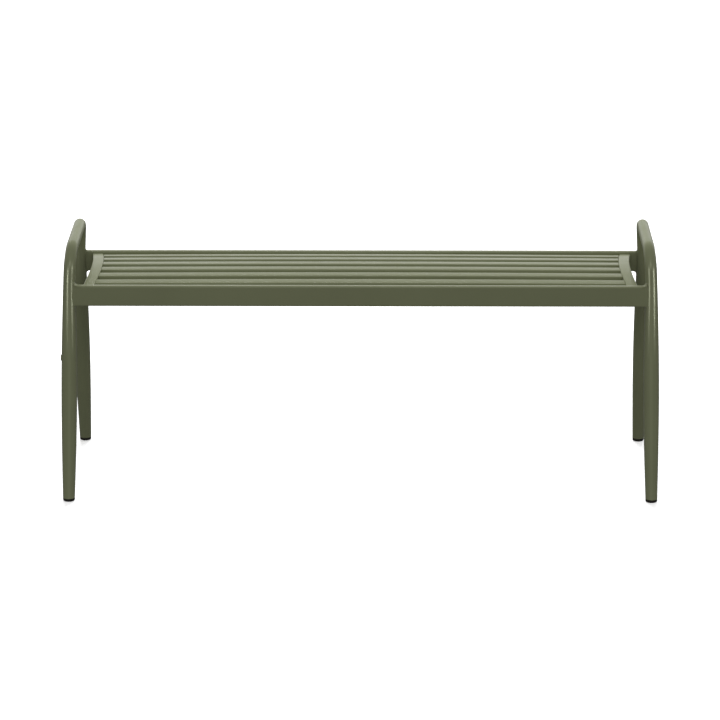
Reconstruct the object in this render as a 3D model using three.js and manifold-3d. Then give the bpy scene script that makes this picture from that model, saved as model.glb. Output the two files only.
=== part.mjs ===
// Backless outdoor bench: two hoop-shaped side frames, two long rails, six crowned slats between
// curved end bars, two cross supports below the slats, four foot glides and one blank badge.
// Millimetres. +X runs along the bench, +Y from front to rear, +Z up, z = 0 on the floor.
import * as THREE from 'three';
import { mergeVertices } from 'three/addons/utils/BufferGeometryUtils.js';
import Module from 'manifold-3d';

const wasm = await Module();
wasm.setup();

// ---------------------------------------------------------------- driving dimensions
// Overall shape
const OVERALL_HEIGHT = 543;      // floor to the top of the side frames
const SEAT_RAIL_TOP = 458;       // floor to the top of the long rails
const FRAME_SPACING = 1242;      // left feet to right feet, centre to centre on the floor
const LEG_LEAN = 5.5;            // each leg leans in by this much from the floor to the top
const TOP_TUCK = 4.5;            // the top rail leans in by this much more
const TOP_TUCK_START = 440;      // height from which it does so
const FOOT_SPREAD = 421;         // front foot to rear foot, centre to centre on the floor
const TOP_SPREAD = 258;          // the two leg lines of a frame, apart at the top rail's centre
const LEG_CURVE = 1.5;           // 1 for straight legs; the more, the later they flare outwards

// Side frame tube, thickest below the middle of each leg
const TOP_TUBE_DIAMETER = 25.5;
const LEG_BELLY_DIAMETER = 33.7;
const LEG_BELLY_HEIGHT = 240;
const FOOT_DIAMETER = 25.5;
const FRAME_BEND_RADIUS = 45;
const FRAME_TUBE_WALL = 2;

// Foot glides
const GLIDE_HEIGHT = 7;
const GLIDE_EDGE_RADIUS = 2.5;
const GLIDE_STEM_HEIGHT = 24;    // top of the stem above the floor
const GLIDE_STEM_CLEARANCE = 0.75;  // all round, between the stem and the tube's bore at the foot

// Long rails
const RAIL_HEIGHT = 44.5;
const RAIL_DEPTH = 14;
const RAIL_CORNER_RADIUS = 2.5;
const RAIL_WALL = 2;
const RAIL_FLARE = 6;            // the rail end swells by this much into each leg, above and below
const RAIL_WRAP = 8;             // how far the rail ends reach round the sides of the legs

// Seat
const SLAT_COUNT = 6;
const SLAT_WIDTH = 24.5;
const SLAT_THICKNESS = 12;
const SLAT_CORNER_RADIUS = 2;
const SLAT_WALL = 1.6;
const CROWN_RISE = 6;            // middle of the seat above the rails
const CROWN_RADIUS = 980;        // curve of the seat from front to rear
const SLAT_BOW = 1.8;            // slat ends below slat middles
const END_BAR_WIDTH = 23.5;
const END_BAR_INSET = 34;        // side frame's top rail to the end bar's centre line, at the rails
const END_BAR_BOW = 9;           // how far the end bar curves in towards the seat's middle
const SUPPORT_SPACING = 412;     // cross support to cross support, centres
const SUPPORT_WIDTH = 30;
const SUPPORT_THICKNESS = 5;

// Blank badge on one front leg
const BADGE_DIAMETER = 13;
const BADGE_HEIGHT = 301;        // floor to the badge's centre
const BADGE_PROUD = 1.5;         // how far it stands out of the leg

// Clearance left between pieces that touch on the real bench
const FIT_GAP = 0.3;

// ---------------------------------------------------------------- colours
const SAGE_POWDER_COAT = { color: 0x7a7d63, roughness: 0.45, metalness: 0.1 };
const BLACK_PLASTIC = { color: 0x17170f, roughness: 0.6, metalness: 0 };

// ---------------------------------------------------------------- roundness of the curved shapes
const TUBE_SEGMENTS = 24;
const CORNER_SEGMENTS = 2;
const LEG_STATIONS = 7;
const BEND_STATIONS = 6;
const SLAT_STATIONS = 4;
const ARC_STATIONS = 7;

// ---------------------------------------------------------------- lofted solids
// A loft is a list of rings with the same number of points, each ring running anticlockwise
// when seen from the loft's far end.
function pushStrip(triangles, ringA, ringB, count) {
  for (let i = 0; i < count; i += 1) {
    const next = (i + 1) % count;
    triangles.push(ringA + i, ringA + next, ringB + next);
    triangles.push(ringA + i, ringB + next, ringB + i);
  }
}

function loftGeometry(points, triangles) {
  const geometry = new THREE.BufferGeometry();
  const positions = points.flatMap((p) => [p.x, p.y, p.z]);
  geometry.setAttribute('position', new THREE.Float32BufferAttribute(positions, 3));
  geometry.setIndex(triangles);
  return geometry;
}

function solidLoft(rings) {
  const count = rings[0].length;
  const triangles = [];
  for (let r = 0; r + 1 < rings.length; r += 1) {
    pushStrip(triangles, r * count, (r + 1) * count, count);
  }
  const last = (rings.length - 1) * count;
  for (let i = 1; i + 1 < count; i += 1) {
    triangles.push(0, i + 1, i);
    triangles.push(last, last + i, last + i + 1);
  }
  return loftGeometry(rings.flat(), triangles);
}

// Outer and inner rings start and end at the same stations; the two ends are left open as rims.
function hollowLoft(outerRings, innerRings) {
  const count = outerRings[0].length;
  const triangles = [];
  const innerStart = outerRings.length * count;
  for (let r = 0; r + 1 < outerRings.length; r += 1) {
    pushStrip(triangles, r * count, (r + 1) * count, count);
  }
  for (let r = 0; r + 1 < innerRings.length; r += 1) {
    pushStrip(triangles, innerStart + (r + 1) * count, innerStart + r * count, count);
  }
  const outerLast = (outerRings.length - 1) * count;
  const innerLast = innerStart + (innerRings.length - 1) * count;
  pushStrip(triangles, innerStart, 0, count);
  pushStrip(triangles, outerLast, innerLast, count);
  return loftGeometry([...outerRings, ...innerRings].flat(), triangles);
}

// Section outline in its own plane: a rectangle with rounded corners, centred on the origin.
function roundedRectangle(width, height, radius) {
  const outline = [];
  const corners = [[1, 1, 0], [-1, 1, 1], [-1, -1, 2], [1, -1, 3]];
  for (const [signU, signV, quarter] of corners) {
    for (let i = 0; i <= CORNER_SEGMENTS; i += 1) {
      const angle = (quarter + i / CORNER_SEGMENTS) * Math.PI / 2;
      const u = signU * (width / 2 - radius) + radius * Math.cos(angle);
      const v = signV * (height / 2 - radius) + radius * Math.sin(angle);
      outline.push([u, v]);
    }
  }
  return outline;
}

function stations(start, end, steps) {
  return Array.from({ length: steps + 1 }, (_, i) => start + (end - start) * i / steps);
}

// ---------------------------------------------------------------- booleans
function toManifold(geometry) {
  const bare = geometry.clone();
  bare.deleteAttribute('normal');
  bare.deleteAttribute('uv');
  const merged = mergeVertices(bare, 1e-4);
  return new wasm.Manifold(new wasm.Mesh({
    numProp: 3,
    vertProperties: new Float32Array(merged.attributes.position.array),
    triVerts: new Uint32Array(merged.index.array),
  }));
}

function fromManifold(solid) {
  const mesh = solid.getMesh();
  const geometry = new THREE.BufferGeometry();
  geometry.setAttribute('position', new THREE.BufferAttribute(mesh.vertProperties, 3));
  geometry.setIndex(new THREE.BufferAttribute(mesh.triVerts, 1));
  return geometry;
}

// ---------------------------------------------------------------- side frames
const topCentreHeight = OVERALL_HEIGHT - TOP_TUBE_DIAMETER / 2;

// Half the distance between a frame's two leg lines at height z.
function legOffset(z) {
  const flare = (FOOT_SPREAD - TOP_SPREAD) / 2;
  return TOP_SPREAD / 2 + flare * (1 - z / topCentreHeight) ** LEG_CURVE;
}

// Direction of a leg at height z, above the horizontal.
function legAngle(z) {
  const flare = (FOOT_SPREAD - TOP_SPREAD) / 2;
  const share = (1 - z / topCentreHeight) ** (LEG_CURVE - 1);
  return Math.atan2(topCentreHeight, flare * LEG_CURVE * share);
}

// Distance of a frame's centre line from the middle of the bench at height z.
function frameOffset(z) {
  const tuck = Math.max(z - TOP_TUCK_START, 0) / (topCentreHeight - TOP_TUCK_START);
  return FRAME_SPACING / 2 - LEG_LEAN * z / topCentreHeight - TOP_TUCK * tuck ** 2;
}

function legDiameter(z) {
  if (z < LEG_BELLY_HEIGHT) {
    const share = Math.max(z - GLIDE_HEIGHT, 0) / (LEG_BELLY_HEIGHT - GLIDE_HEIGHT);
    return FOOT_DIAMETER + (LEG_BELLY_DIAMETER - FOOT_DIAMETER) * Math.sin(share * Math.PI / 2);
  }
  const share = Math.max(SEAT_RAIL_TOP - z, 0) / (SEAT_RAIL_TOP - LEG_BELLY_HEIGHT);
  return TOP_TUBE_DIAMETER
    + (LEG_BELLY_DIAMETER - TOP_TUBE_DIAMETER) * Math.sin(share * Math.PI / 2);
}

// Centre line of a frame from the front foot over the top to the rear foot, as { y, z, angle },
// where angle is the direction of travel above the horizontal.
function framePath(legSteps, bendSteps) {
  const bendAngle = legAngle(topCentreHeight - FRAME_BEND_RADIUS);
  const bendStartZ = topCentreHeight - FRAME_BEND_RADIUS * (1 - Math.cos(bendAngle));
  const front = [];
  for (const z of stations(GLIDE_HEIGHT, bendStartZ, legSteps)) {
    front.push({ y: -legOffset(z), z, angle: legAngle(z) });
  }
  for (const turned of stations(0, bendAngle, bendSteps).slice(1)) {
    const angle = bendAngle - turned;
    const rise = FRAME_BEND_RADIUS * (Math.cos(angle) - Math.cos(bendAngle));
    const run = FRAME_BEND_RADIUS * (Math.sin(bendAngle) - Math.sin(angle));
    front.push({ y: run - legOffset(bendStartZ), z: bendStartZ + rise, angle });
  }
  const rear = front.map((p) => ({ y: -p.y, z: p.z, angle: -p.angle })).reverse();
  return [...front, ...rear];
}

// Round ring about a point of a frame's centre line. The rings at the feet are cut level.
function frameRing(side, point, diameter, isFoot) {
  const ring = [];
  const along = new THREE.Vector3(0, Math.cos(point.angle), Math.sin(point.angle));
  const outward = new THREE.Vector3(0, -Math.sin(point.angle), Math.cos(point.angle));
  for (let i = 0; i < TUBE_SEGMENTS; i += 1) {
    const turn = i / TUBE_SEGMENTS * Math.PI * 2;
    const spot = new THREE.Vector3(0, point.y, point.z);
    spot.addScaledVector(outward, Math.sin(turn) * diameter / 2);
    if (isFoot) {
      spot.addScaledVector(along, (point.z - spot.z) / along.z);
    }
    spot.x = side * frameOffset(point.z) - Math.cos(turn) * diameter / 2;
    ring.push(spot);
  }
  return ring;
}

function frameRings(side, legSteps, bendSteps, diameterChange) {
  const path = framePath(legSteps, bendSteps);
  return path.map((point, i) => {
    const isFoot = i === 0 || i === path.length - 1;
    return frameRing(side, point, legDiameter(point.z) + diameterChange, isFoot);
  });
}

function sideFrame(side) {
  const outer = frameRings(side, LEG_STATIONS, BEND_STATIONS, 0);
  const inner = frameRings(side, LEG_STATIONS, BEND_STATIONS / 2, -2 * FRAME_TUBE_WALL);
  return hollowLoft(outer, inner);
}

// The frame as a solid bar grown by the fit gap, for shaping the pieces that meet it.
const frameCutters = new Map([-1, 1].map((side) => {
  const rings = frameRings(side, LEG_STATIONS, BEND_STATIONS, 2 * FIT_GAP);
  return [side, toManifold(solidLoft(rings))];
}));

// ---------------------------------------------------------------- long rails
// The rails' outer faces just touch the outside of the legs, at half the rails' height.
const railCentreHeight = SEAT_RAIL_TOP - RAIL_HEIGHT / 2;
const railOuterFace = legOffset(railCentreHeight) + legDiameter(railCentreHeight) / 2;
const railInnerFace = railOuterFace - RAIL_DEPTH;
const railOffset = railOuterFace - RAIL_DEPTH / 2;

// How much the rail grows above and below at a distance from the leg's inner side.
function flareAt(distance) {
  if (distance >= RAIL_FLARE) {
    return 0;
  }
  const near = Math.max(distance, 0);
  return RAIL_FLARE - Math.sqrt(RAIL_FLARE ** 2 - (RAIL_FLARE - near) ** 2);
}

function railRing(x, y, flare, inset) {
  const height = RAIL_HEIGHT + 2 * flare - 2 * inset;
  const outline = roundedRectangle(RAIL_DEPTH - 2 * inset, height, RAIL_CORNER_RADIUS - inset / 2);
  return outline.map(([u, v]) => new THREE.Vector3(x, y + u, railCentreHeight + v));
}

function longRail(sign) {
  const legSide = frameOffset(SEAT_RAIL_TOP) - legDiameter(SEAT_RAIL_TOP) / 2;
  const reach = legSide + RAIL_WRAP;
  const flareStations = stations(0, 1, 5).map((t) => legSide - RAIL_FLARE * (1 - t) ** 2);
  const half = [...flareStations, reach];
  const xs = [...half.map((x) => -x).reverse(), ...half];
  const y = sign * railOffset;
  const outer = xs.map((x) => railRing(x, y, flareAt(legSide - Math.abs(x)), 0));
  const inner = [-reach - 1, reach + 1].map((x) => railRing(x, y, 0, RAIL_WALL));
  let rail = toManifold(solidLoft(outer)).subtract(toManifold(solidLoft(inner)));
  for (const cutter of frameCutters.values()) {
    rail = rail.subtract(cutter);
  }
  return fromManifold(rail);
}

// ---------------------------------------------------------------- seat
const slatHalfLength = frameOffset(topCentreHeight) - END_BAR_INSET;

// The gaps between the slats, and between the outer slats and the rails, are all the same.
const slatGap = (2 * railInnerFace - SLAT_COUNT * SLAT_WIDTH) / (SLAT_COUNT + 1);
const slatPitch = SLAT_WIDTH + slatGap;

// Height of the seat's top surface, x along the bench and y across it.
function seatHeight(x, y) {
  const crown = CROWN_RISE - (CROWN_RADIUS - Math.sqrt(CROWN_RADIUS ** 2 - y ** 2));
  return SEAT_RAIL_TOP + crown - SLAT_BOW * (x / slatHalfLength) ** 2;
}

function seatSlope(y) {
  return Math.asin(-y / CROWN_RADIUS);
}

// Distance of the end bars' centre line from the middle of the bench at y.
function endBarOffset(y) {
  return slatHalfLength - END_BAR_BOW * (1 - (y / railInnerFace) ** 2);
}

function slatRings(y, inset) {
  const slope = seatSlope(y);
  const outline = roundedRectangle(
    SLAT_WIDTH - 2 * inset, SLAT_THICKNESS - 2 * inset, SLAT_CORNER_RADIUS - inset / 2,
  );
  return stations(-1, 1, SLAT_STATIONS).map((t) => outline.map(([u, v]) => {
    const spotY = y + u * Math.cos(slope) - v * Math.sin(slope);
    const reach = endBarOffset(spotY) - END_BAR_WIDTH / 2 - FIT_GAP;
    const x = t * reach;
    const below = SLAT_THICKNESS / 2 * Math.cos(slope);
    const spotZ = seatHeight(t * slatHalfLength, y) - below + u * Math.sin(slope)
      + v * Math.cos(slope);
    return new THREE.Vector3(x, spotY, spotZ);
  }));
}

function slat(y) {
  return hollowLoft(slatRings(y, 0), slatRings(y, SLAT_WALL));
}

function endBarRings(side, inset) {
  const reach = railInnerFace - FIT_GAP;
  const outline = roundedRectangle(
    END_BAR_WIDTH - 2 * inset, SLAT_THICKNESS - 2 * inset, SLAT_CORNER_RADIUS - inset / 2,
  );
  return stations(reach, -reach, ARC_STATIONS).map((y) => {
    const x = side * endBarOffset(y);
    const z = seatHeight(slatHalfLength, y) - SLAT_THICKNESS / 2;
    return outline.map(([u, v]) => new THREE.Vector3(x + u, y, z + v));
  });
}

function endBar(side) {
  return hollowLoft(endBarRings(side, 0), endBarRings(side, SLAT_WALL));
}

// Flat strip that follows the underside of the slats from rail to rail.
function crossSupport(side) {
  const x = side * SUPPORT_SPACING / 2;
  const reach = railInnerFace - FIT_GAP;
  const underSlats = SLAT_THICKNESS + FIT_GAP + SLAT_WIDTH ** 2 / (8 * CROWN_RADIUS);
  const rings = stations(reach, -reach, ARC_STATIONS * 2).map((y) => {
    const z = seatHeight(x, y) - underSlats - SUPPORT_THICKNESS / 2;
    const outline = roundedRectangle(SUPPORT_WIDTH, SUPPORT_THICKNESS, 1);
    return outline.map(([u, v]) => new THREE.Vector3(x + u, y, z + v));
  });
  return solidLoft(rings);
}

// ---------------------------------------------------------------- foot glides
const glideStemDiameter = FOOT_DIAMETER - 2 * (FRAME_TUBE_WALL + GLIDE_STEM_CLEARANCE);

// A level pad under the tube with a stem that plugs into the leg along the leg's lean.
function footGlide(side, sign) {
  const padTop = GLIDE_HEIGHT - FIT_GAP;
  const radius = FOOT_DIAMETER / 2;
  const profile = [new THREE.Vector2(0, 0)];
  for (const turn of stations(-Math.PI / 2, 0, CORNER_SEGMENTS)) {
    const r = radius - GLIDE_EDGE_RADIUS + GLIDE_EDGE_RADIUS * Math.cos(turn);
    profile.push(new THREE.Vector2(r, GLIDE_EDGE_RADIUS + GLIDE_EDGE_RADIUS * Math.sin(turn)));
  }
  profile.push(new THREE.Vector2(radius, padTop));
  profile.push(new THREE.Vector2(0, padTop));
  const pad = new THREE.LatheGeometry(profile, TUBE_SEGMENTS);
  pad.rotateX(Math.PI / 2);
  pad.translate(side * frameOffset(GLIDE_HEIGHT), sign * legOffset(GLIDE_HEIGHT), 0);

  const stemRings = [GLIDE_HEIGHT / 2, GLIDE_STEM_HEIGHT].map((z) => {
    const ring = [];
    for (let i = 0; i < TUBE_SEGMENTS; i += 1) {
      const turn = i / TUBE_SEGMENTS * Math.PI * 2;
      const x = side * frameOffset(z) + glideStemDiameter / 2 * Math.cos(turn);
      const y = sign * legOffset(z) + glideStemDiameter / 2 * Math.sin(turn);
      ring.push(new THREE.Vector3(x, y, z));
    }
    return ring;
  });
  return fromManifold(toManifold(pad).add(toManifold(solidLoft(stemRings))));
}

// ---------------------------------------------------------------- badge
// Blank disc on the outer side of the left front leg, hollowed at the back to sit on the tube.
function badge() {
  const side = -1;
  const legSurface = frameOffset(BADGE_HEIGHT) + legDiameter(BADGE_HEIGHT) / 2;
  const length = LEG_BELLY_DIAMETER / 2;
  const disc = new THREE.CylinderGeometry(
    BADGE_DIAMETER / 2, BADGE_DIAMETER / 2, length, TUBE_SEGMENTS,
  );
  disc.rotateZ(Math.PI / 2);
  const x = side * (legSurface + BADGE_PROUD - length / 2);
  disc.translate(x, -legOffset(BADGE_HEIGHT), BADGE_HEIGHT);
  const trimmed = toManifold(disc).subtract(frameCutters.get(side));
  return fromManifold(trimmed);
}

// ---------------------------------------------------------------- assembly
const bench = new THREE.Group();
bench.name = 'bench';

function addPart(name, geometry, look) {
  const mesh = new THREE.Mesh(geometry, new THREE.MeshStandardMaterial(look));
  mesh.name = name;
  bench.add(mesh);
}

const SIDES = [['left', -1], ['right', 1]];
const ENDS = [['front', -1], ['rear', 1]];

for (const [sideName, side] of SIDES) {
  addPart(`side_frame_${sideName}`, sideFrame(side), SAGE_POWDER_COAT);
  addPart(`end_bar_${sideName}`, endBar(side), SAGE_POWDER_COAT);
  addPart(`cross_support_${sideName}`, crossSupport(side), SAGE_POWDER_COAT);
  for (const [endName, sign] of ENDS) {
    addPart(`glide_${endName}_${sideName}`, footGlide(side, sign), BLACK_PLASTIC);
  }
}
for (const [endName, sign] of ENDS) {
  addPart(`${endName}_rail`, longRail(sign), SAGE_POWDER_COAT);
}
for (let i = 0; i < SLAT_COUNT; i += 1) {
  const y = (i - (SLAT_COUNT - 1) / 2) * slatPitch;
  addPart(`slat_${i + 1}`, slat(y), SAGE_POWDER_COAT);
}
addPart('badge_disc', badge(), SAGE_POWDER_COAT);

export default bench;
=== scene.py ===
"""Looks of the backless bench: a finely rounded piece in the place of each CAD node."""
import math

import bpy
from mathutils import Matrix, Vector

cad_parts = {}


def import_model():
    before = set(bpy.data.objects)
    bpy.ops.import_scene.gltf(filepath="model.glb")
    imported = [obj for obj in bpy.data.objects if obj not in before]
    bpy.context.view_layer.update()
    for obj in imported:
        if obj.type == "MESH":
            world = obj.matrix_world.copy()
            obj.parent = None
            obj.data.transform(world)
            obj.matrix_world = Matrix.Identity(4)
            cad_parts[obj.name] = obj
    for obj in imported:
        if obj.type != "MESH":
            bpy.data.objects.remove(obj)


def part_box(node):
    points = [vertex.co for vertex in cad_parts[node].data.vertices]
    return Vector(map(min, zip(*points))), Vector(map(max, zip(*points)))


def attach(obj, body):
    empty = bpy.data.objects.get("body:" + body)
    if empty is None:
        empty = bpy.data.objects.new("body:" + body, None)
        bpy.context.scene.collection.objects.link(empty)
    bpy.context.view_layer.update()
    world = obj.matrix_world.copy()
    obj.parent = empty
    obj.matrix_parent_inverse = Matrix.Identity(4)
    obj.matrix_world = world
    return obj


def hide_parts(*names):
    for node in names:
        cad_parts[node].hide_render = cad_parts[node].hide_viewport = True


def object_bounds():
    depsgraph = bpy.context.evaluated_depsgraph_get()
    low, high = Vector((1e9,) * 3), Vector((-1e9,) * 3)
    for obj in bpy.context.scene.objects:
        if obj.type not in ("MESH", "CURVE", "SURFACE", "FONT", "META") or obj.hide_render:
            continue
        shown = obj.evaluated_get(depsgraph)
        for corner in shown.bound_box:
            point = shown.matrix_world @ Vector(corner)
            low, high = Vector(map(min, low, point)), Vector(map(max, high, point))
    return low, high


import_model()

cad_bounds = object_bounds()

# ---------------------------------------------------------------- sizes, in metres
OVERALL_HEIGHT = cad_bounds[1][2]
SEAT_RAIL_TOP = 0.458
FRAME_SPACING = 1.242
LEG_LEAN = 0.0055
TOP_TUCK = 0.0045
TOP_TUCK_START = 0.440
FOOT_SPREAD = 0.421
TOP_SPREAD = 0.258
LEG_CURVE = 1.5
TOP_TUBE_DIAMETER = 0.0255
LEG_BELLY_DIAMETER = 0.0337
LEG_BELLY_HEIGHT = 0.240
FOOT_DIAMETER = 0.0255
FRAME_BEND_RADIUS = 0.045
FRAME_TUBE_WALL = 0.002
FOOT_BORE_SHOWN = 0.020     # how far up the open foot the bore is modelled
GLIDE_HEIGHT = 0.007
RAIL_HEIGHT = 0.0445
RAIL_CORNER_RADIUS = 0.0025
CROWN_RADIUS = 0.980
CROWN_RISE = 0.006
SLAT_BOW = 0.0018
SLAT_COUNT = 6
SLAT_WIDTH = 0.0245
SLAT_THICKNESS = 0.012
SLAT_CORNER_RADIUS = 0.0022
END_BAR_WIDTH = 0.0235
END_BAR_INSET = 0.034
END_BAR_BOW = 0.009
SUPPORT_THICKNESS = 0.005
SUPPORT_CORNER_RADIUS = 0.0012
BADGE_PROUD = 0.0015
FIT_GAP = 0.0003

TUBE_POINTS = 56       # round a tube, a glide or the badge
CORNER_POINTS = 5      # steps round a bar's rounded corner

SIDES = (("left", -1), ("right", 1))
ENDS = (("front", -1), ("rear", 1))


def lerp(a, b, t):
    return a + (b - a) * t


def spread(start, end, steps):
    """Evenly spaced values from start to end, both included."""
    return [lerp(start, end, i / steps) for i in range(steps + 1)]


# ---------------------------------------------------------------- mesh building
def make_piece(name, points, faces, sharp_degrees=50.0):
    mesh = bpy.data.meshes.new(name)
    mesh.from_pydata([tuple(p) for p in points], [], faces)
    mesh.update()
    mesh.validate()
    for polygon in mesh.polygons:
        polygon.use_smooth = True
    mesh.set_sharp_from_angle(angle=math.radians(sharp_degrees))
    piece = bpy.data.objects.new(name, mesh)
    bpy.context.scene.collection.objects.link(piece)
    return piece


def loft(name, rings, sharp_degrees=50.0):
    """Closed skin over rings of equal point count, each anticlockwise seen from the far end."""
    count = len(rings[0])
    points = [p for ring in rings for p in ring]
    faces = []
    for r in range(len(rings) - 1):
        a, b = r * count, (r + 1) * count
        for i in range(count):
            j = (i + 1) % count
            faces.append((a + i, a + j, b + j, b + i))
    last = (len(rings) - 1) * count
    faces.append(tuple(reversed(range(count))))
    faces.append(tuple(last + i for i in range(count)))
    return make_piece(name, points, faces, sharp_degrees)


def rounded_rectangle(width, height, radius):
    """Outline points with their outward normals, anticlockwise from the right-hand side."""
    outline = []
    for quarter, (sign_u, sign_v) in enumerate(((1, 1), (-1, 1), (-1, -1), (1, -1))):
        for i in range(CORNER_POINTS + 1):
            angle = (quarter + i / CORNER_POINTS) * math.pi / 2
            normal = (math.cos(angle), math.sin(angle))
            u = sign_u * (width / 2 - radius) + radius * normal[0]
            v = sign_v * (height / 2 - radius) + radius * normal[1]
            outline.append((u, v, *normal))
    return outline


def finish_piece(piece, node, material):
    piece.data.materials.append(material)
    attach(piece, "root")
    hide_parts(node)
    return piece


# ---------------------------------------------------------------- side frames
TOP_CENTRE_HEIGHT = OVERALL_HEIGHT - TOP_TUBE_DIAMETER / 2


def leg_offset(z):
    flare = (FOOT_SPREAD - TOP_SPREAD) / 2
    return TOP_SPREAD / 2 + flare * (1 - z / TOP_CENTRE_HEIGHT) ** LEG_CURVE


def leg_angle(z):
    """Direction of a leg above the horizontal."""
    flare = (FOOT_SPREAD - TOP_SPREAD) / 2
    share = (1 - z / TOP_CENTRE_HEIGHT) ** (LEG_CURVE - 1)
    return math.atan2(TOP_CENTRE_HEIGHT, flare * LEG_CURVE * share)


def frame_offset(z):
    tuck = max(z - TOP_TUCK_START, 0) / (TOP_CENTRE_HEIGHT - TOP_TUCK_START)
    return FRAME_SPACING / 2 - LEG_LEAN * z / TOP_CENTRE_HEIGHT - TOP_TUCK * tuck ** 2


def leg_diameter(z):
    if z < LEG_BELLY_HEIGHT:
        share = max(z - GLIDE_HEIGHT, 0) / (LEG_BELLY_HEIGHT - GLIDE_HEIGHT)
        return lerp(FOOT_DIAMETER, LEG_BELLY_DIAMETER, math.sin(share * math.pi / 2))
    share = max(SEAT_RAIL_TOP - z, 0) / (SEAT_RAIL_TOP - LEG_BELLY_HEIGHT)
    return lerp(TOP_TUBE_DIAMETER, LEG_BELLY_DIAMETER, math.sin(share * math.pi / 2))


def frame_path():
    """Centre line of a side frame as (y, z, direction above the horizontal), front foot first."""
    bend_angle = leg_angle(TOP_CENTRE_HEIGHT - FRAME_BEND_RADIUS)
    bend_z = TOP_CENTRE_HEIGHT - FRAME_BEND_RADIUS * (1 - math.cos(bend_angle))
    front = [(-leg_offset(z), z, leg_angle(z)) for z in spread(GLIDE_HEIGHT, bend_z, 48)]
    for turned in spread(0, bend_angle, 20)[1:]:
        angle = bend_angle - turned
        rise = FRAME_BEND_RADIUS * (math.cos(angle) - math.cos(bend_angle))
        run = FRAME_BEND_RADIUS * (math.sin(bend_angle) - math.sin(angle))
        front.append((run - leg_offset(bend_z), bend_z + rise, angle))
    last_y = front[-1][0]
    top = [(y, TOP_CENTRE_HEIGHT, 0.0) for y in spread(last_y, -last_y, 4)[1:-1]]
    rear = [(-y, z, -angle) for y, z, angle in reversed(front)]
    return front + top + rear


def frame_ring(side, station, diameter, level=False):
    """Ring round the tube at a station, square to it, or cut level with the ground at a foot."""
    y, z, angle = station
    along = Vector((0, math.cos(angle), math.sin(angle)))
    outward = Vector((0, -math.sin(angle), math.cos(angle)))
    ring = []
    for i in range(TUBE_POINTS):
        turn = i / TUBE_POINTS * 2 * math.pi
        spot = Vector((0, y, z)) + outward * math.sin(turn) * diameter / 2
        if level:
            spot += along * ((z - spot.z) / along.z)
        spot.x = side * frame_offset(z) - math.cos(turn) * diameter / 2
        ring.append(spot)
    return ring


def inside_foot(side, end):
    """Rings that carry the tube's rim round into its bore at one foot, from the rim inwards."""
    rings = []
    for z in (GLIDE_HEIGHT, GLIDE_HEIGHT + FOOT_BORE_SHOWN):
        station = (end * leg_offset(z), z, -end * leg_angle(z))
        rings.append(frame_ring(side, station, leg_diameter(z) - 2 * FRAME_TUBE_WALL, True))
    return rings


def side_frame(name, side, material):
    path = frame_path()
    last = len(path) - 1
    rings = [
        frame_ring(side, station, leg_diameter(station[1]), i in (0, last))
        for i, station in enumerate(path)
    ]
    front, rear = inside_foot(side, -1), inside_foot(side, 1)
    piece = loft(name, [front[1], front[0], *rings, rear[0], rear[1]])
    return finish_piece(piece, name, material)


# ---------------------------------------------------------------- long rails
RAIL_PLAIN_REACH = 0.57    # the rail is plain this far from its middle
RAIL_FILLET = 0.007        # weld fillet above and below the rail
RAIL_FACE_FILLET = 0.018   # length over which the rail's faces run into the leg's sides
RAIL_SINK = 0.002          # the rail end runs this far into the leg, as a weld would
WELD_MIDDLE = 0.86         # how far round the leg the rail's face meets it, at half height
WELD_EDGE = 0.70           # and at the rail's top and bottom


def rail_outline(depth):
    """Rounded rectangle with extra points down its two faces, for the curved weld seams."""
    corners = rounded_rectangle(depth, RAIL_HEIGHT, RAIL_CORNER_RADIUS)
    quarter = CORNER_POINTS + 1
    outline = []
    for start in range(0, 4 * quarter, quarter):
        outline += corners[start:start + quarter]
        (u, v, nu, nv), following = outline[-1], corners[(start + quarter) % (4 * quarter)]
        if abs(nu) > 0.5:
            steps = spread(v, following[1], 10)[1:-1]
            outline += [(u, height, nu, nv) for height in steps]
    return outline


def long_rail(name, sign, material):
    low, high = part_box(name)
    middle_y = (low.y + high.y) / 2
    middle_z = SEAT_RAIL_TOP - RAIL_HEIGHT / 2
    outline = rail_outline(high.y - low.y)

    def end_ring(side, share):
        """Ring near a leg: share runs from 0, where the plain rail stops, to 1, on the leg."""
        ease = share * share * (3 - 2 * share)
        ring = []
        for u, v, _, normal_v in outline:
            z = middle_z + v
            radius = leg_diameter(z) / 2
            from_leg = abs(middle_y + u) - leg_offset(z)
            limit = radius * lerp(WELD_MIDDLE, WELD_EDGE, (2 * v / RAIL_HEIGHT) ** 4)
            meets = max(-limit, min(from_leg, limit))
            y = sign * (leg_offset(z) + lerp(from_leg, meets, ease))
            face = frame_offset(z) - math.sqrt(radius ** 2 - meets ** 2)
            fillet = RAIL_FILLET * normal_v * abs(normal_v)
            away = (1 - share) ** 2
            x = face - away * lerp(RAIL_FACE_FILLET, RAIL_FILLET, abs(normal_v))
            rise = fillet * (1 - math.sqrt(1 - (1 - away) ** 2))
            ring.append(Vector((side * x, y, z + rise)))
        return ring

    def end_rings(side):
        rings = [end_ring(side, share) for share in spread(0, 1, 10)]
        sunk = [Vector((p.x + side * RAIL_SINK, p.y, p.z)) for p in rings[-1]]
        return [*rings, sunk]

    plain = []
    for x in spread(-RAIL_PLAIN_REACH, RAIL_PLAIN_REACH, 12):
        plain.append([Vector((x, middle_y + u, middle_z + v)) for u, v, _, _ in outline])
    rings = [*reversed(end_rings(-1)), *plain, *end_rings(1)]
    return finish_piece(loft(name, rings), name, material)


# ---------------------------------------------------------------- seat
SLAT_HALF_LENGTH = frame_offset(TOP_CENTRE_HEIGHT) - END_BAR_INSET
RAIL_INNER_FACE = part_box("rear_rail")[0].y


def seat_height(x, y):
    crown = CROWN_RISE - (CROWN_RADIUS - math.sqrt(CROWN_RADIUS ** 2 - y ** 2))
    return SEAT_RAIL_TOP + crown - SLAT_BOW * (x / SLAT_HALF_LENGTH) ** 2


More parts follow.
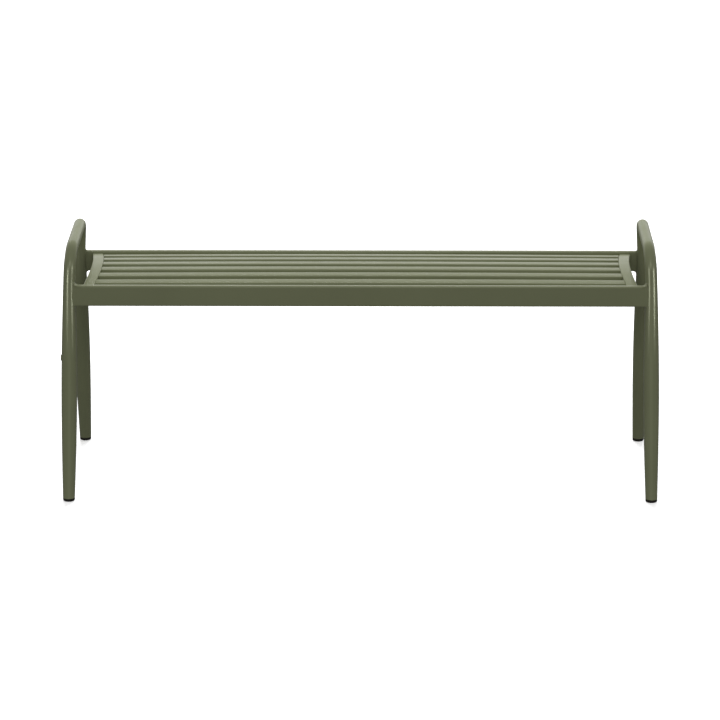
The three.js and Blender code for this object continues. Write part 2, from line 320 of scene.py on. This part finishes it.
def end_bar_offset(y):
    return SLAT_HALF_LENGTH - END_BAR_BOW * (1 - (y / RAIL_INNER_FACE) ** 2)


EDGE_ROUND = 0.0008
END_ROUND_STEPS = ((0.0, 1.0), (0.3, 0.3), (1.0, 0.0))   # (distance from the end, inset) in EDGE_ROUND


def slat(name, material):
    low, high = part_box(name)
    y = (low.y + high.y) / 2
    slope = math.asin(-y / CROWN_RADIUS)
    outline = rounded_rectangle(SLAT_WIDTH, SLAT_THICKNESS, SLAT_CORNER_RADIUS)

    def ring(t, from_end, inset):
        points = []
        for u, v, nu, nv in outline:
            u, v = u - nu * inset, v - nv * inset
            spot_y = y + u * math.cos(slope) - v * math.sin(slope)
            reach = end_bar_offset(spot_y) - END_BAR_WIDTH / 2 - FIT_GAP - from_end
            drop = SLAT_THICKNESS / 2 * math.cos(slope)
            z = seat_height(t * SLAT_HALF_LENGTH, y) - drop
            z += u * math.sin(slope) + v * math.cos(slope)
            points.append(Vector((t * reach, spot_y, z)))
        return points

    ends = [(near * EDGE_ROUND, inset * EDGE_ROUND) for near, inset in END_ROUND_STEPS]
    rings = [ring(-1, near, inset) for near, inset in ends]
    rings += [ring(t, 0, 0) for t in spread(-1, 1, 24)[1:-1]]
    rings += [ring(1, near, inset) for near, inset in reversed(ends)]
    return finish_piece(loft(name, rings), name, material)


def strip(name, material, width, thickness, corner, centre):
    """A bar from the rear rail to the front rail whose middle at y is centre(y) = (x, z)."""
    outline = rounded_rectangle(width, thickness, corner)
    reach = RAIL_INNER_FACE - FIT_GAP
    rings = []
    for y in spread(reach, -reach, 48):
        x, z = centre(y)
        rings.append([Vector((x + u, y, z + v)) for u, v, _, _ in outline])
    return finish_piece(loft(name, rings), name, material)


def end_bar(name, side, material):
    def centre(y):
        return side * end_bar_offset(y), seat_height(SLAT_HALF_LENGTH, y) - SLAT_THICKNESS / 2

    return strip(
        name, material, END_BAR_WIDTH, SLAT_THICKNESS, SLAT_CORNER_RADIUS, centre
    )


def cross_support(name, material):
    low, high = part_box(name)
    x = (low.x + high.x) / 2
    under_slats = SLAT_THICKNESS + FIT_GAP + SLAT_WIDTH ** 2 / (8 * CROWN_RADIUS)

    def centre(y):
        return x, seat_height(x, y) - under_slats - SUPPORT_THICKNESS / 2

    return strip(
        name, material, high.x - low.x, SUPPORT_THICKNESS,
        SUPPORT_CORNER_RADIUS, centre
    )


# ---------------------------------------------------------------- glides and badge
# Moulded pad, (radius, height) from the middle of its underside round to its top and stem.
GLIDE_PROFILE = (
    (0.0015, 0.0009), (0.0050, 0.0009), (0.0056, 0.0006), (0.0060, 0.0), (0.0100, 0.0),
    (0.0110, 0.0003), (0.0120, 0.0010), (0.0126, 0.0020), (0.0127, 0.0032), (0.0127, 0.0060),
    (0.0126, 0.0065), (0.0123, 0.0067), (0.0100, 0.0068), (0.0100, 0.0225), (0.0092, 0.0240),
    (0.0015, 0.0240),
)


def glide(name, side, sign, material):
    rings = []
    for radius, z in GLIDE_PROFILE:
        lean_z = max(z, GLIDE_HEIGHT)
        x, y = side * frame_offset(lean_z), sign * leg_offset(lean_z)
        ring = []
        for i in range(TUBE_POINTS):
            turn = i / TUBE_POINTS * 2 * math.pi
            ring.append(Vector((x + radius * math.cos(turn), y + radius * math.sin(turn), z)))
        rings.append(ring)
    return finish_piece(loft(name, rings, sharp_degrees=40), name, material)


# Badge face, (share of the radius, share of the height it stands proud).
BADGE_PROFILE = ((1.0, -0.6), (1.0, 0.55), (0.985, 0.78), (0.95, 0.92), (0.88, 1.0), (0.30, 1.0))


def badge(name, material):
    low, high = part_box(name)
    middle = (low + high) / 2
    radius = (high.z - low.z) / 2
    rings = []
    for share, rise in BADGE_PROFILE:
        ring = []
        for i in range(TUBE_POINTS):
            turn = -i / TUBE_POINTS * 2 * math.pi
            y = middle.y + share * radius * math.cos(turn)
            z = middle.z + share * radius * math.sin(turn)
            ring.append(Vector((low.x + BADGE_PROUD * (1 - rise), y, z)))
        rings.append(ring)
    return finish_piece(loft(name, rings), name, material)


# ---------------------------------------------------------------- materials
COAT_COLOUR = (0.179, 0.193, 0.110)
COAT_SPECULAR_TINT = (0.92, 0.96, 0.70)
COAT_ROUGHNESS = (0.30, 0.35)
PLASTIC_COLOUR = (0.012, 0.010, 0.007)
PLASTIC_ROUGHNESS = (0.48, 0.62)


def new_material(name):
    material = bpy.data.materials.new(name)
    material.use_nodes = True
    return material, material.node_tree


def noise(tree, coordinates, scale, detail=2.0):
    node = tree.nodes.new("ShaderNodeTexNoise")
    node.inputs["Scale"].default_value = scale
    node.inputs["Detail"].default_value = detail
    tree.links.new(coordinates, node.inputs["Vector"])
    return node.outputs["Fac"]


def remap(tree, value, low, high):
    """Stretch a noise value, which seldom leaves 0.3 to 0.7, to run from low to high."""
    node = tree.nodes.new("ShaderNodeMapRange")
    node.inputs["From Min"].default_value = 0.3
    node.inputs["From Max"].default_value = 0.7
    node.inputs["To Min"].default_value = low
    node.inputs["To Max"].default_value = high
    tree.links.new(value, node.inputs["Value"])
    return node.outputs["Result"]


def powder_coat():
    """Sage-green powder coat: soft tonal drift, fine grain, and a slight orange-peel surface."""
    material, tree = new_material("sage_powder_coat")
    shader = tree.nodes["Principled BSDF"]
    shader.inputs["Metallic"].default_value = 0.0
    shader.inputs["IOR"].default_value = 1.5
    shader.inputs["Specular Tint"].default_value = (*COAT_SPECULAR_TINT, 1)
    place = tree.nodes.new("ShaderNodeTexCoord").outputs["Object"]

    drift = remap(tree, noise(tree, place, scale=6.0, detail=3.0), 0.965, 1.035)
    grain = remap(tree, noise(tree, place, scale=2200.0), 0.96, 1.04)
    tone = tree.nodes.new("ShaderNodeMath")
    tone.operation = "MULTIPLY"
    tree.links.new(drift, tone.inputs[0])
    tree.links.new(grain, tone.inputs[1])
    colour = tree.nodes.new("ShaderNodeMix")
    colour.data_type = "RGBA"
    colour.blend_type = "MULTIPLY"
    colour.inputs["Factor"].default_value = 1.0
    colour.inputs["A"].default_value = (*COAT_COLOUR, 1)
    tree.links.new(tone.outputs[0], colour.inputs["B"])
    tree.links.new(colour.outputs["Result"], shader.inputs["Base Color"])

    roughness = remap(tree, noise(tree, place, scale=40.0, detail=4.0), *COAT_ROUGHNESS)
    tree.links.new(roughness, shader.inputs["Roughness"])

    peel = noise(tree, place, scale=420.0, detail=3.0)
    bump = tree.nodes.new("ShaderNodeBump")
    bump.inputs["Strength"].default_value = 0.25
    bump.inputs["Distance"].default_value = 0.0004
    tree.links.new(peel, bump.inputs["Height"])
    tree.links.new(bump.outputs["Normal"], shader.inputs["Normal"])
    return material


def black_plastic():
    """Moulded black plastic with a fine spark-eroded grain."""
    material, tree = new_material("black_plastic")
    shader = tree.nodes["Principled BSDF"]
    place = tree.nodes.new("ShaderNodeTexCoord").outputs["Object"]
    shader.inputs["Base Color"].default_value = (*PLASTIC_COLOUR, 1)
    shader.inputs["Specular IOR Level"].default_value = 0.3
    roughness = remap(tree, noise(tree, place, scale=120.0, detail=3.0), *PLASTIC_ROUGHNESS)
    tree.links.new(roughness, shader.inputs["Roughness"])
    bump = tree.nodes.new("ShaderNodeBump")
    bump.inputs["Strength"].default_value = 0.3
    bump.inputs["Distance"].default_value = 0.0002
    tree.links.new(noise(tree, place, scale=1800.0), bump.inputs["Height"])
    tree.links.new(bump.outputs["Normal"], shader.inputs["Normal"])
    return material


# ---------------------------------------------------------------- the bench
coat = powder_coat()
plastic = black_plastic()
side_frames = bpy.data.collections.new("side_frames")
for side_name, side in SIDES:
    side_frames.objects.link(side_frame(f"side_frame_{side_name}", side, coat))
    end_bar(f"end_bar_{side_name}", side, coat)
    cross_support(f"cross_support_{side_name}", coat)
    for end_name, sign in ENDS:
        glide(f"glide_{end_name}_{side_name}", side, sign, plastic)
for end_name, sign in ENDS:
    long_rail(f"{end_name}_rail", sign, coat)
for number in range(1, SLAT_COUNT + 1):
    slat(f"slat_{number}", coat)
badge("badge_disc", coat)


# ---------------------------------------------------------------- floor, light and camera
FLOOR_HALF = 90.0      # the floor is a square, this far from its middle to each side
FLOOR_GLOW = 0.45      # light of its own, so that it stays an even white


def floor():
    corners = ((-1, -1), (1, -1), (1, 1), (-1, 1))
    points = [(x * FLOOR_HALF, y * FLOOR_HALF, 0) for x, y in corners]
    piece = make_piece("floor", points, [(0, 1, 2, 3)])
    material, tree = new_material("pale_floor")
    shader = tree.nodes["Principled BSDF"]
    shader.inputs["Base Color"].default_value = (0.86, 0.86, 0.86, 1)
    shader.inputs["Roughness"].default_value = 0.9
    shader.inputs["Emission Color"].default_value = (1, 1, 1, 1)
    shader.inputs["Emission Strength"].default_value = FLOOR_GLOW
    shader.inputs["Specular IOR Level"].default_value = 0.1
    piece.data.materials.append(material)
    piece.visible_glossy = False
    piece.visible_diffuse = False


LIGHT_TARGET = (0, 0, 0.3)


def area_light(name, place, target, width, height, power):
    light = bpy.data.lights.new(name, "AREA")
    light.shape = "RECTANGLE"
    light.size = width
    light.size_y = height
    light.energy = power
    lamp = bpy.data.objects.new(name, light)
    lamp.location = place
    lamp.rotation_euler = (Vector(target) - Vector(place)).to_track_quat("-Z", "Y").to_euler()
    bpy.context.scene.collection.objects.link(lamp)
    return lamp


# Small low lamps whose reflections draw the bright lines down the front legs.
GLINT_LAMPS = (
    ("glint_near", Vector((-2.30, -3.40, 0.06)), 290),
    ("glint_far", Vector((5.2, -4.3, 0.06)), 900),
)
GLINT_TARGET_HEIGHT = 0.50
GLINT_REACH = 0.17         # radius of the lit spot on the leg
GLINT_LAMP_RADIUS = 0.08


def glint(name, place, side, power, receivers):
    light = bpy.data.lights.new(name, "SPOT")
    z = GLINT_TARGET_HEIGHT
    target = Vector((side * frame_offset(z), -leg_offset(z), z))
    light.energy = power
    light.shadow_soft_size = GLINT_LAMP_RADIUS
    light.spot_size = 2 * math.atan(GLINT_REACH / (target - place).length)
    light.spot_blend = 1.0
    lamp = bpy.data.objects.new(name, light)
    lamp.location = place
    lamp.rotation_euler = (target - place).to_track_quat("-Z", "Y").to_euler()
    lamp.visible_diffuse = False
    lamp.light_linking.receiver_collection = receivers
    bpy.context.scene.collection.objects.link(lamp)


# Brightness of the surroundings: dark in front, lighter overhead, and white low down behind.
SKY_LOW = 0.27
SKY_HIGH = 0.28
BACKDROP = 1.05
BACKDROP_FALLOFF = 1.2     # how fast the backdrop fades from straight behind round to the front
HORIZON_FALLOFF = 3.0      # and from the horizon upwards
BELOW = 0.15
HORIZON_DIP = 0.02         # sine of how far the sky goes on below the horizon, past the floor's far edge


def math_node(tree, operation, *values):
    node = tree.nodes.new("ShaderNodeMath")
    node.operation = operation
    for socket, value in zip(node.inputs, values):
        if isinstance(value, (int, float)):
            socket.default_value = value
        else:
            tree.links.new(value, socket)
    return node.outputs[0]


def world():
    scene_world = bpy.data.worlds.new("studio")
    scene_world.use_nodes = True
    tree = scene_world.node_tree
    split = tree.nodes.new("ShaderNodeSeparateXYZ")
    tree.links.new(tree.nodes.new("ShaderNodeTexCoord").outputs["Generated"], split.inputs[0])
    _, rearward, upward = split.outputs
    above = math_node(tree, "MAXIMUM", upward, 0.0)
    is_above = math_node(tree, "GREATER_THAN", upward, -HORIZON_DIP)
    behind = math_node(tree, "MULTIPLY_ADD", rearward, 0.5, 0.5)
    behind = math_node(tree, "POWER", behind, BACKDROP_FALLOFF)
    near_horizon = math_node(tree, "SUBTRACT", 1.0, above)
    near_horizon = math_node(tree, "POWER", near_horizon, HORIZON_FALLOFF)
    backdrop = math_node(tree, "MULTIPLY", behind, near_horizon)
    level = math_node(tree, "MULTIPLY_ADD", above, SKY_HIGH, SKY_LOW)
    level = math_node(tree, "MULTIPLY_ADD", backdrop, BACKDROP, level)
    level = math_node(tree, "SUBTRACT", level, BELOW)
    level = math_node(tree, "MULTIPLY_ADD", level, is_above, BELOW)
    tree.links.new(level, tree.nodes["Background"].inputs["Strength"])
    tree.nodes["Background"].inputs["Color"].default_value = (1, 1, 1, 1)
    bpy.context.scene.world = scene_world


CAMERA_PLACE = Vector((0.065, -7.195, 2.4367))
CAMERA_PITCH = math.radians(16.90)      # below the horizontal
CAMERA_YAW = math.radians(-0.53)        # towards +X is positive
CAMERA_ROLL = math.radians(-0.05)
CAMERA_LENS = 173.3                     # millimetres on a 36 mm sensor


def camera():
    data = bpy.data.cameras.new("camera")
    data.sensor_width = 36.0
    data.lens = CAMERA_LENS
    data.clip_end = 100.0
    view = bpy.data.objects.new("camera", data)
    forward = Vector((
        math.sin(CAMERA_YAW) * math.cos(CAMERA_PITCH),
        math.cos(CAMERA_YAW) * math.cos(CAMERA_PITCH),
        -math.sin(CAMERA_PITCH),
    ))
    right = Vector((math.cos(CAMERA_YAW), -math.sin(CAMERA_YAW), 0))
    up = right.cross(forward)
    turn = Matrix((right, up, -forward)).transposed() @ Matrix.Rotation(CAMERA_ROLL, 3, "Z")
    view.matrix_world = Matrix.Translation(CAMERA_PLACE) @ turn.to_4x4()
    bpy.context.scene.collection.objects.link(view)
    bpy.context.scene.camera = view


floor()
world()
softbox = area_light("rear_softbox", (0, 5.5, 4.2), LIGHT_TARGET, width=4.5, height=2.5, power=560)
softbox.visible_glossy = False
area_light("front_fill", (0, -6.5, 3.0), LIGHT_TARGET, width=3.0, height=3.0, power=106)
for side_name, side in SIDES:
    for lamp_name, lamp_place, power in GLINT_LAMPS:
        glint(f"{lamp_name}_{side_name}", lamp_place, side, power, side_frames)
camera()
bpy.context.scene.view_settings.view_transform = "Standard"
